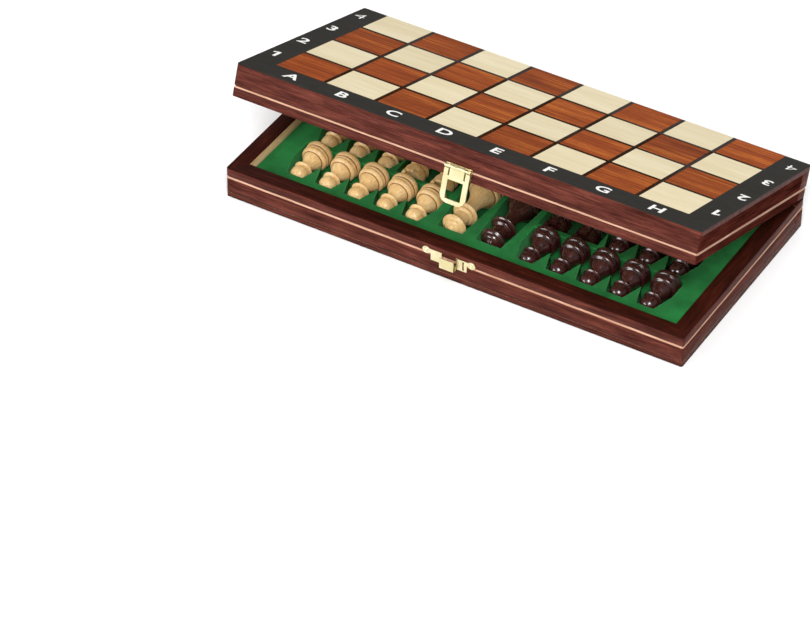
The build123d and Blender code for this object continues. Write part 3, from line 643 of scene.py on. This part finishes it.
def turnedForm(kind, radius, height):  # the lathe work, standing on its foot at the origin
    points = outlines[kind]
    line = []
    for (r1, z1, bow), (r2, z2, _) in zip(points, points[1:]):
        start = Vector((r1 * radius, 0, z1 * height))
        end = Vector((r2 * radius, 0, z2 * height))
        across = Vector(((end - start).z, 0, -(end - start).x))
        steps = menLook["bow steps"] if bow else 1
        for k in range(steps):
            t = k / steps
            line.append(start.lerp(end, t) + across * (4 * bow * t * (1 - t)))
    line.append(Vector((0, 0, points[-1][1] * height)))
    form = bmesh.new()
    newLine(form, line)
    spinRound(form, menLook["steps"], menLook["weld"])
    bmesh.ops.recalc_face_normals(form, faces=form.faces)
    bands = [band for band in (menLook["foot groove"], grooveBands.get(kind)) if band]
    for face in form.faces:
        share = face.calc_center_median().z / height
        if any(low < share < high for low, high in bands):
            face.material_index = 1
    return form


knightLook = {"half thick": 0.46, "edge": 0.11}
# the knight's head in side view, in shares of the foot radius and of the height: mane, ear, nose, jaw, chest
knightHead = [
    (-0.5, 0.27), (-0.66, 0.42), (-0.6, 0.45), (-0.67, 0.5), (-0.57, 0.54), (-0.61, 0.6), (-0.5, 0.63),
    (-0.52, 0.69), (-0.41, 0.72), (-0.4, 0.78), (-0.28, 0.81), (-0.2, 0.89), (0.05, 0.99), (0.13, 0.93),
    (0.24, 0.91), (0.42, 0.86), (0.79, 0.72), (0.82, 0.66), (0.68, 0.61), (0.5, 0.645), (0.5, 0.585),
    (0.27, 0.57), (0.22, 0.51), (0.38, 0.46), (0.5, 0.4), (0.5, 0.27)]
finLook = {"half width": 0.4, "half height": 0.067, "half thick": 0.15, "edge": 0.08}


def addKnightHead(form, radius, height):
    half = knightLook["half thick"] * radius
    outline = [form.verts.new((x * radius, -half, z * height)) for x, z in knightHead]
    side = form.faces.new(outline)
    cheeks = [side] + drawOut(form, [side], (0, 2 * half, 0))
    rims = list({e for f in cheeks for e in f.edges})
    bmesh.ops.bevel(form, geom=rims, offset=knightLook["edge"] * radius, segments=3, profile=0.5,
                    affect="EDGES", material=-1, clamp_overlap=True)
    bmesh.ops.recalc_face_normals(form, faces=form.faces)


def addFin(form, radius, height):  # the king's rounded fin, in place of a cross
    before = set(form.verts)
    disc = bmesh.ops.create_circle(form, cap_ends=True, radius=1, segments=32)["verts"]
    drawOut(form, [disc[0].link_faces[0]], (0, 0, 1))
    own = [v for v in form.verts if v not in before]
    thick = finLook["half thick"] * radius
    size = Matrix.Diagonal((finLook["half width"] * radius, finLook["half height"] * height, 2 * thick, 1))
    seat = Matrix.Translation((0, thick, height * (1 - finLook["half height"])))
    bmesh.ops.transform(form, matrix=seat @ Matrix.Rotation(math.pi / 2, 4, "X") @ size, verts=own)
    rims = [e for v in own for e in v.link_edges if e.calc_face_angle(0) > 1]
    bmesh.ops.bevel(form, geom=list(set(rims)), offset=finLook["edge"] * radius, segments=3, profile=0.5,
                    affect="EDGES", material=-1, clamp_overlap=True)
    bmesh.ops.recalc_face_normals(form, faces=form.faces)


battlementLook = {"ring": 0.93, "rise": 0.07, "pitch": 60, "gap": 15}


def addBattlements(form, height):  # six blocks drawn up from the ring round the tower's top
    blocks = []
    for face in form.faces:
        middle = face.calc_center_median()
        onRing = face.normal.z > 0.9 and abs(middle.z / height - battlementLook["ring"]) < 0.002
        angle = math.degrees(math.atan2(middle.y, middle.x))
        if onRing and angle % battlementLook["pitch"] > battlementLook["gap"]:
            blocks.append(face)
    drawOut(form, blocks, (0, 0, battlementLook["rise"] * height))


mitreLook = {"lean": 35, "at": (0.5, 0.78), "half wide": 0.07, "deep": 0.5, "behind": 0.1,
             "neck": 0.6, "collar": 0.64, "crown": 0.9}


def cutMitre(form, radius, height):  # the bishop's slanting cut
    lean = math.radians(mitreLook["lean"])
    along = Vector((math.sin(lean), 0, math.cos(lean)))
    across = Vector((math.cos(lean), 0, -math.sin(lean)))
    x, z = mitreLook["at"]
    middle = Vector((x * radius, 0, z * height))
    half = mitreLook["half wide"] * radius
    neck, collar, crown = (mitreLook[level] * height for level in ("neck", "collar", "crown"))
    for side in (-1, 1):
        head = [f for f in form.faces if neck < f.calc_center_median().z < crown]
        cutFaces(form, head, middle + across * half * side, across)
    strip = [f for f in form.faces if abs((f.calc_center_median() - middle).dot(across)) < half
             and collar < f.calc_center_median().z < crown
             and (f.calc_center_median() - middle).dot(along) > -mitreLook["behind"] * radius]
    for face in drawOut(form, strip, along * -mitreLook["deep"] * radius):
        face.material_index = 1


def placeMan(form, node, radius):
    low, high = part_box(node)
    middle = (low + high) / 2
    lay = Matrix.Translation((middle.x, high.y, low.z + radius)) @ Matrix.Rotation(math.radians(90), 4, "X")
    bmesh.ops.transform(form, matrix=lay, verts=form.verts)


def dressMan(node):
    colour, kind = node.split("_")[:2]
    low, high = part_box(node)
    radius = (high.z - low.z) / 2
    height = high.y - low.y
    form = turnedForm(kind, radius, height)
    if kind == "knight":
        addKnightHead(form, radius, height)
    elif kind == "king":
        addFin(form, radius, height)
    elif kind == "rook":
        addBattlements(form, height)
    elif kind == "bishop":
        cutMitre(form, radius, height)
    placeMan(form, node, radius)
    finishPiece(form, camelName(node), "tray",
                [finishes[colour], finishes[f"{colour} groove"]], node, smoothUnder=40)


for node in sorted(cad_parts):
    if node.startswith(("pale_", "dark_")):
        dressMan(node)
print("chessmen done")


# brass: hinges, latch and catch

brassLook = {"leaf edge": 0.12, "plate edge": 0.14, "loop edge": 0.16}
slitLook = {"inner": 4.2, "outer": 4.9, "window top": 16.7, "slit foot": 18.5, "deep": 0.7}


def deepenSlits(form):  # grooves that carry the slits beside the tab on down to the window
    bmesh.ops.transform(form, matrix=closeLid, verts=form.verts)
    cuts = [((side * slitLook[edge] * 0.001, 0, 0), (1, 0, 0))
            for side in (-1, 1) for edge in ("inner", "outer")]
    cuts.append(((0, 0, slitLook["slit foot"] * 0.001), (0, 0, 1)))
    for place, facing in cuts:
        cutFaces(form, [f for f in form.faces if f.normal.y < -0.9], place, facing)
    middle = (slitLook["inner"] + slitLook["outer"]) / 2000
    wide = (slitLook["outer"] - slitLook["inner"]) / 2000
    strips = [f for f in form.faces if f.normal.y < -0.9
              and abs(abs(f.calc_center_median().x) - middle) < wide
              and slitLook["window top"] < f.calc_center_median().z * 1000 < slitLook["slit foot"]]
    drawOut(form, strips, (0, slitLook["deep"] * 0.001, 0))
    bmesh.ops.transform(form, matrix=openLid, verts=form.verts)


ringLook = {"from middle": 13.2, "height": 14.2, "inner": 1.25, "outer": 1.75, "raised": 0.14, "steps": 24}


def pressRings(form):  # the low ring that is pressed into each ear round its nail
    face = min(v.co.y for v in form.verts if abs(v.co.x) * 1000 > ringLook["from middle"])
    middle = (ringLook["inner"] + ringLook["outer"]) / 2
    thick = (ringLook["outer"] - ringLook["inner"]) / 2
    for side in (-1, 1):
        ring = bmesh.new()
        bmesh.ops.create_circle(ring, segments=8, radius=thick * 0.001,
                                matrix=Matrix.Rotation(math.pi / 2, 4, "X"))
        bmesh.ops.scale(ring, vec=(1, 1, ringLook["raised"] / thick), verts=ring.verts)
        bmesh.ops.translate(ring, vec=(middle * 0.001, 0, 0), verts=ring.verts)
        spinRound(ring, ringLook["steps"])
        bmesh.ops.recalc_face_normals(ring, faces=ring.faces)
        seat = (Matrix.Translation((side * ringLook["from middle"] / 1000, face, ringLook["height"] / 1000))
                @ Matrix.Rotation(math.pi / 2, 4, "X"))
        bmesh.ops.transform(ring, matrix=seat, verts=ring.verts)
        addForm(form, ring)


for node, body, edge in (("tray_hinge_leaves", "tray", "leaf edge"), ("lid_hinge_leaves", "lid", "leaf edge"),
                         ("latch_plate", "lid", "plate edge"), ("latch_loop", "latch_loop", "loop edge"),
                         ("catch_plate", "tray", "plate edge")):
    form = nodeCopy(node)
    if node == "latch_loop":
        deepenSlits(form)
    roundEdges(form, brassLook[edge], sharper=50)
    if node == "catch_plate":
        pressRings(form)
    plate = finishPiece(form, camelName(node), body, [finishes["brass"]], node)
    plate.modifiers.new("flatFaces", "WEIGHTED_NORMAL").keep_sharp = True  # only the edges shade round
for node in ("hinge_pins", "latch_pin"):
    setFinish(node, finishes["brass"])

# half outlines from the tip to the middle of the head, in millimetres, with the head's seat at zero
screwLine = [(0, -6), (0.3, -5.5), (0.66, -4.7), (0.66, -0.6), (1.27, -0.04), (1.24, 0), (0, 0)]
nailLine = [(0, -5), (0.2, -4.4), (0.38, -4), (0.38, 0), (0.85, 0), (0.89, 0.08), (0.8, 0.22), (0.5, 0.35),
            (0, 0.4)]
fastenerLook = {"steps": 24, "slot half": 0.14, "slot deep": 0.3, "nail head": 0.4,
                "first slot": {"tray": 0.7, "lid": 1.1}}


def islands(node, half):  # the box of each solid in a node with the lid closed, from left to right
    form = nodeCopy(node)
    left = set(form.verts)
    boxes = []
    while left:
        group, queue = [], [left.pop()]
        while queue:
            vert = queue.pop()
            group.append(closedPoint(vert.co, half))
            for edge in vert.link_edges:
                other = edge.other_vert(vert)
                if other in left:
                    left.discard(other)
                    queue.append(other)
        boxes.append([Vector(pick(p[k] for p in group) for k in range(3)) for pick in (min, max)])
    form.free()
    return sorted(boxes, key=lambda box: [round(c, 5) for c in box[0]])  # a set has no order of its own


def fastener(line, slotted):  # pointing down, with its head up
    form = bmesh.new()
    newLine(form, [(x * 0.001, 0, z * 0.001) for x, z in line])
    spinRound(form, fastenerLook["steps"])
    if slotted:
        half = fastenerLook["slot half"] * 0.001

        def topFaces():
            return [f for f in form.faces if f.calc_center_median().z > -0.00001]

        for side in (-1, 1):
            cutFaces(form, topFaces(), (half * side, 0, 0), (1, 0, 0))
        strip = [f for f in topFaces() if abs(f.calc_center_median().x) < half]
        drawOut(form, strip, (0, 0, -fastenerLook["slot deep"] * 0.001))
    bmesh.ops.recalc_face_normals(form, faces=form.faces)
    return form


def dressFasteners(node, half, line, slotted):
    whole = bmesh.new()
    for count, (low, high) in enumerate(islands(node, half)):
        middle = (low + high) / 2
        one = fastener(line, slotted)
        slot = Matrix.Rotation(fastenerLook["first slot"][half] + count, 4, "Z")  # each at its own angle
        if node == "catch_nails":
            face = low.y + fastenerLook["nail head"] * 0.001
            seat = Matrix.Translation((middle.x, face, middle.z)) @ Matrix.Rotation(math.pi / 2, 4, "X")
        elif half == "tray":
            seat = Matrix.Translation((middle.x, middle.y, high.z)) @ slot
        else:
            seat = (openLid @ Matrix.Translation((middle.x, middle.y, low.z))
                    @ Matrix.Rotation(math.pi, 4, "X") @ slot)
        bmesh.ops.transform(one, matrix=seat, verts=one.verts)
        addForm(whole, one)
    finishPiece(whole, camelName(node), half, [finishes["brass"]], node)


dressFasteners("tray_hinge_screws", "tray", screwLine, True)
dressFasteners("lid_hinge_screws", "lid", screwLine, True)
dressFasteners("catch_nails", "tray", nailLine, False)
print("brass done")


# floor, light and camera

studio = {"floor": 4.0, "floor drop": 0.2, "floor grey": 0.93, "world": 0.27, "distance": 2.0648,
          "azimuth": 30.12, "elevation": 39.64, "roll": 0.73, "aim": (-1.63, -107.44, 0.0), "lens": 183.16}
lamps = {
    "key": {"place": (0.8, -1.5, 1.7), "aim": (0, 0, 0.02), "size": (0.9, 0.9), "power": 48},
    "fill": {"place": (-1.1, -1.7, 0.8), "aim": (0, 0, 0.02), "size": (1.2, 0.6), "power": 22},
    "overhead": {"place": (0.1, 0.3, 2.0), "aim": (0, 0, 0.0), "size": (1.4, 1.4), "power": 21},
}


def makeStage():
    sheet = bmesh.new()
    bmesh.ops.create_grid(sheet, x_segments=2, y_segments=2, size=studio["floor"])
    mesh = bpy.data.meshes.new("floor")
    sheet.to_mesh(mesh)
    sheet.free()
    floor = bpy.data.objects.new("floor", mesh)
    floor.location.z = -studio["floor drop"] * 0.001
    bpy.context.scene.collection.objects.link(floor)
    finish, tree, shader = newFinish("floorPaper", Roughness=0.9, Specular_IOR_Level=0.1)
    shader.inputs["Base Color"].default_value = (studio["floor grey"],) * 3 + (1,)
    mesh.materials.append(finish)


def makeLight(name, place, aim, size, power):
    lamp = bpy.data.lights.new(name, "AREA")
    lamp.shape = "RECTANGLE"
    lamp.size, lamp.size_y = size
    lamp.energy = power
    holder = bpy.data.objects.new(name, lamp)
    holder.location = place
    holder.rotation_euler = (Vector(aim) - Vector(place)).to_track_quat("-Z", "Y").to_euler()
    bpy.context.scene.collection.objects.link(holder)


def makeCamera():
    azimuth, elevation, roll = (math.radians(studio[k]) for k in ("azimuth", "elevation", "roll"))
    back = Vector((math.sin(azimuth) * math.cos(elevation), -math.cos(azimuth) * math.cos(elevation),
                   math.sin(elevation)))
    right = (-back).cross(Vector((0, 0, 1))).normalized()
    up = right.cross(-back)
    tiltedRight = right * math.cos(roll) + up * math.sin(roll)
    tiltedUp = -right * math.sin(roll) + up * math.cos(roll)
    lens = bpy.data.cameras.new("camera")
    lens.lens = studio["lens"]
    lens.sensor_width = 36
    lens.sensor_fit = "HORIZONTAL"
    lens.clip_start = 0.01
    camera = bpy.data.objects.new("camera", lens)
    place = Vector(studio["aim"]) * 0.001 + back * studio["distance"]
    axes = Matrix((tiltedRight, tiltedUp, back)).transposed().to_4x4()
    camera.matrix_world = Matrix.Translation(place) @ axes
    bpy.context.scene.collection.objects.link(camera)
    bpy.context.scene.camera = camera


makeStage()
for name, look in lamps.items():
    makeLight(name, **look)
makeCamera()

world = bpy.data.worlds.new("studio")
world.use_nodes = True
world.node_tree.nodes["Background"].inputs["Color"].default_value = (1, 1, 1, 1)
world.node_tree.nodes["Background"].inputs["Strength"].default_value = studio["world"]
bpy.context.scene.world = world
bpy.context.scene.view_settings.view_transform = "Standard"
print("stage, lights and camera set")
